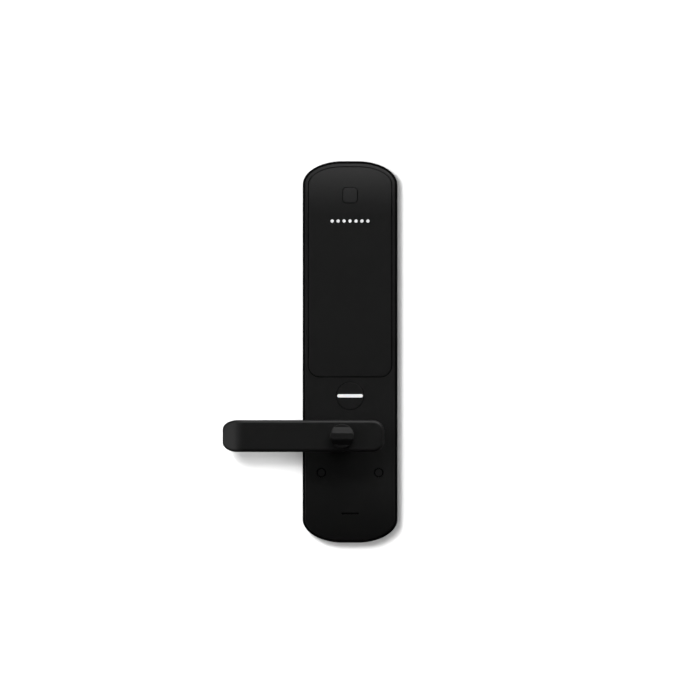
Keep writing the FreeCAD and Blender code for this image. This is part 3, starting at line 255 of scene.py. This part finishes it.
def glow(name, color, strength):
    """A lit or translucent light pipe."""
    s = Shader(name)
    s.principled(
        Base_Color=s.ramp(s.noise(120.0, detail=2.0), [(0.2, shade(color, 0.96)), (0.8, color)]),
        Roughness=0.35,
        Subsurface_Weight=0.3,
        Subsurface_Scale=0.001,
        Emission_Color=(*color, 1.0),
        Emission_Strength=strength,
        Normal=s.bump(s.noise(700.0), 0.00001),
    )
    return s.material


# One material for each slot of the record.
MATERIALS = {
    "black_paint": satin_paint("black_paint", (0.0005, 0.0005, 0.00052), 0.52, grain=0.000012),
    "panel_cover": satin_paint("panel_cover", (0.0005, 0.0005, 0.00052), 0.51, grain=0.000004),
    "white_print": moulded("white_print", (0.27, 0.273, 0.276), 0.5),
    "black_foam": foam("black_foam", (0.0015, 0.0015, 0.0015)),
    "white_plastic": moulded("white_plastic", (0.74, 0.74, 0.71), 0.45),
    "black_plastic": moulded("black_plastic", (0.0008, 0.0008, 0.00085), 0.5),
    "circuit_board": circuit("circuit_board", (0.008, 0.075, 0.028)),
    "chip": moulded("chip", (0.016, 0.016, 0.017), 0.5, scale=1500.0),
    "lamp": glow("lamp", (0.85, 0.78, 0.42), strength=0.0),
    "sensor_glass": satin_paint("sensor_glass", (0.0018, 0.0018, 0.0019), 0.5, grain=0.000003),
    "bush_brass": metal("bush_brass", (0.62, 0.43, 0.16), 0.28, LINES_Y),
    "black_steel": metal("black_steel", (0.06, 0.06, 0.063), 0.4, EVEN),
    "bright_steel": metal("bright_steel", (0.58, 0.575, 0.56), 0.3, LINES_Y),
    "plated_steel": metal("plated_steel", (0.55, 0.54, 0.5), 0.38, LINES_Z, dull=0.14),
    "silicone": moulded("silicone", (0.36, 0.37, 0.38), 0.6),
    "light_pipe": glow("light_pipe", (0.325, 0.33, 0.335), strength=0.1),
}


def dress():
    """Gives each CAD node the material of its slot in the record."""
    slots = {part["node"]: part["material_slot"] for part in frame["record"]["subparts"]}
    for name, node in frame["nodes"].items():
        node.data.materials.clear()
        node.data.materials.append(MATERIALS[slots[name]])


dress()


# ---------------------------------------------------------------- stage


# The wall stands just behind the plane of the door's face, with an octagonal hole behind the lock.
WALL_Y = 0.0006
WALL_HALF = 3.0
WALL_HIGH = 3.0
WALL_CHAMFER = 0.2
WALL_WHITE, WALL_DARK = 0.42, 0.03
HOLE_LEFT, HOLE_RIGHT = -0.0305, 0.0435
HOLE_LOW, HOLE_HIGH = -0.085, 0.2205
HOLE_CHAMFER = 0.018

FLOOR_Z = -0.32
FLOOR_HALF = 4.0
FLOOR_TONES = (0.78, 0.82)
FLOOR_LIFT = 0.75
SKIRT = 0.3


def stage_mesh(name, corners, faces, material):
    mesh = bpy.data.meshes.new(name)
    mesh.from_pydata(corners, [], faces)
    thing = bpy.data.objects.new(name, mesh)
    bpy.context.scene.collection.objects.link(thing)
    thing.data.materials.append(material)
    return thing


def wall_material():
    """White from the front, clear from behind and dark in reflections."""
    s = Shader("stage_wall")
    tone = s.ramp(s.light_path("Is Glossy Ray"), [(0.0, grey(WALL_WHITE)), (1.0, grey(WALL_DARK))])
    paint = s.add("ShaderNodeBsdfDiffuse")
    s.fill(paint, Color=tone)
    clear = s.add("ShaderNodeBsdfTransparent")
    mix = s.add("ShaderNodeMixShader")
    behind = s.add("ShaderNodeNewGeometry").outputs["Backfacing"]
    for socket, source in zip(mix.inputs, (behind, paint.outputs[0], clear.outputs[0])):
        s.join(source, socket)
    s.join(mix.outputs[0], s.output.inputs["Surface"])
    return s.material


def floor_material():
    """Pale grey with slow clouds, and brighter to the camera than to the lock."""
    s = Shader("stage_floor")
    low, high = FLOOR_TONES
    tone = s.ramp(s.noise(3.0), [(0.0, grey(low)), (1.0, grey(high))])
    lift = s.math("MULTIPLY", s.light_path("Is Camera Ray"), FLOOR_LIFT)
    s.principled(Base_Color=tone, Roughness=0.8, Emission_Color=tone, Emission_Strength=lift)
    return s.material


def octagon(left, right, low, high, chamfer):
    """Corners of a rectangle with cut corners, as x and z, from the lower right one round to the left."""
    return [
        (right, low + chamfer), (right, high - chamfer), (right - chamfer, high), (left + chamfer, high),
        (left, high - chamfer), (left, low + chamfer), (left + chamfer, low), (right - chamfer, low),
    ]


def add_wall():
    """An upright sheet with an octagonal hole behind the lock."""
    inner = octagon(HOLE_LEFT, HOLE_RIGHT, HOLE_LOW, HOLE_HIGH, HOLE_CHAMFER)
    outer = octagon(-WALL_HALF, WALL_HALF, FLOOR_Z - SKIRT, WALL_HIGH, WALL_CHAMFER)
    count = len(inner)
    corners = [(x, WALL_Y, z) for x, z in inner + outer]
    faces = [(n, n + count, (n + 1) % count + count, (n + 1) % count) for n in range(count)]
    stage_mesh("stage_wall", corners, faces, wall_material())


def add_floor():
    signs = [(-1, -1), (1, -1), (1, 1), (-1, 1)]
    corners = [(x * FLOOR_HALF, y * FLOOR_HALF, FLOOR_Z) for x, y in signs]
    floor = stage_mesh("stage_floor", corners, [(0, 1, 2, 3)], floor_material())
    floor.visible_glossy = False


add_wall()
add_floor()


# ---------------------------------------------------------------- light


# Panel lights aimed at the middle of the lock: name, azimuth and elevation in degrees, distance, width,
# height, radiance, and whether reflections show them. Azimuth 0 is straight in front and 90 on the right.
MIDDLE = Vector((0.0065, -0.03, 0.07))
SOFTBOXES = [
    ("key", -14.0, 12.5, 3.0, 0.5, 0.5, 132.0, False),
    ("low_key", -8.0, 6.5, 3.0, 0.5, 0.5, 107.0, False),
    ("top", 25.0, 57.0, 2.0, 2.0, 2.0, 2.95, True),
    ("left", -52.0, -2.0, 2.0, 0.9, 2.4, 2.35, True),
    ("right", 95.0, 0.0, 2.0, 1.2, 2.0, 1.1, True),
    ("rear", 150.0, 0.0, 2.2, 2.8, 2.4, 0.5, True),
    ("rear_top", 200.0, 50.0, 2.2, 1.4, 1.0, 1.2, True),
]
WORLD_SEEN, WORLD_FILL = 1.0, 0.03


def softbox(name, azimuth, elevation, distance, width, height, radiance, reflected):
    light = bpy.data.lights.new(name, "AREA")
    light.shape = "RECTANGLE"
    light.size = width
    light.size_y = height
    light.energy = radiance * math.pi * width * height
    lamp = bpy.data.objects.new(name, light)
    bpy.context.scene.collection.objects.link(lamp)
    turn, lift = math.radians(azimuth), math.radians(elevation)
    toward = Vector((math.sin(turn) * math.cos(lift), -math.cos(turn) * math.cos(lift), math.sin(lift)))
    lamp.location = MIDDLE + toward * distance
    lamp.rotation_euler = (-toward).to_track_quat("-Z", "Y").to_euler()
    lamp.visible_camera = False
    lamp.visible_glossy = reflected


def add_world():
    """White to the camera and a faint fill for everything else."""
    world = bpy.data.worlds.new("studio")
    bpy.context.scene.world = world
    world.use_nodes = True
    world.cycles_visibility.glossy = False
    nodes, links = world.node_tree.nodes, world.node_tree.links
    nodes.clear()
    mix = nodes.new("ShaderNodeMixShader")
    links.new(nodes.new("ShaderNodeLightPath").outputs["Is Camera Ray"], mix.inputs[0])
    for socket, strength in zip(mix.inputs[1:], (WORLD_FILL, WORLD_SEEN)):
        background = nodes.new("ShaderNodeBackground")
        background.inputs["Color"].default_value = (1.0, 1.0, 1.0, 1.0)
        background.inputs["Strength"].default_value = strength
        links.new(background.outputs[0], socket)
    links.new(mix.outputs[0], nodes.new("ShaderNodeOutputWorld").inputs["Surface"])


for box in SOFTBOXES:
    softbox(*box)
add_world()


# ---------------------------------------------------------------- camera


VIEW_WIDTH = 0.5648
VIEW_CENTRE = (0.00645, 0.0693)
LENS = 1000.0
SENSOR = 36.0
FAR_CLIP = 50.0


def add_camera():
    """Looks straight at the lock's front through a very long lens."""
    camera = bpy.data.objects.new("camera", bpy.data.cameras.new("camera"))
    bpy.context.scene.collection.objects.link(camera)
    camera.data.lens = LENS
    camera.data.sensor_width = SENSOR
    camera.data.clip_end = FAR_CLIP
    camera.location = (VIEW_CENTRE[0], -CASE_DEPTH - VIEW_WIDTH * LENS / SENSOR, VIEW_CENTRE[1])
    camera.rotation_euler = (math.radians(90), 0, 0)
    bpy.context.scene.camera = camera


add_camera()
bpy.context.scene.view_settings.view_transform = "Standard"
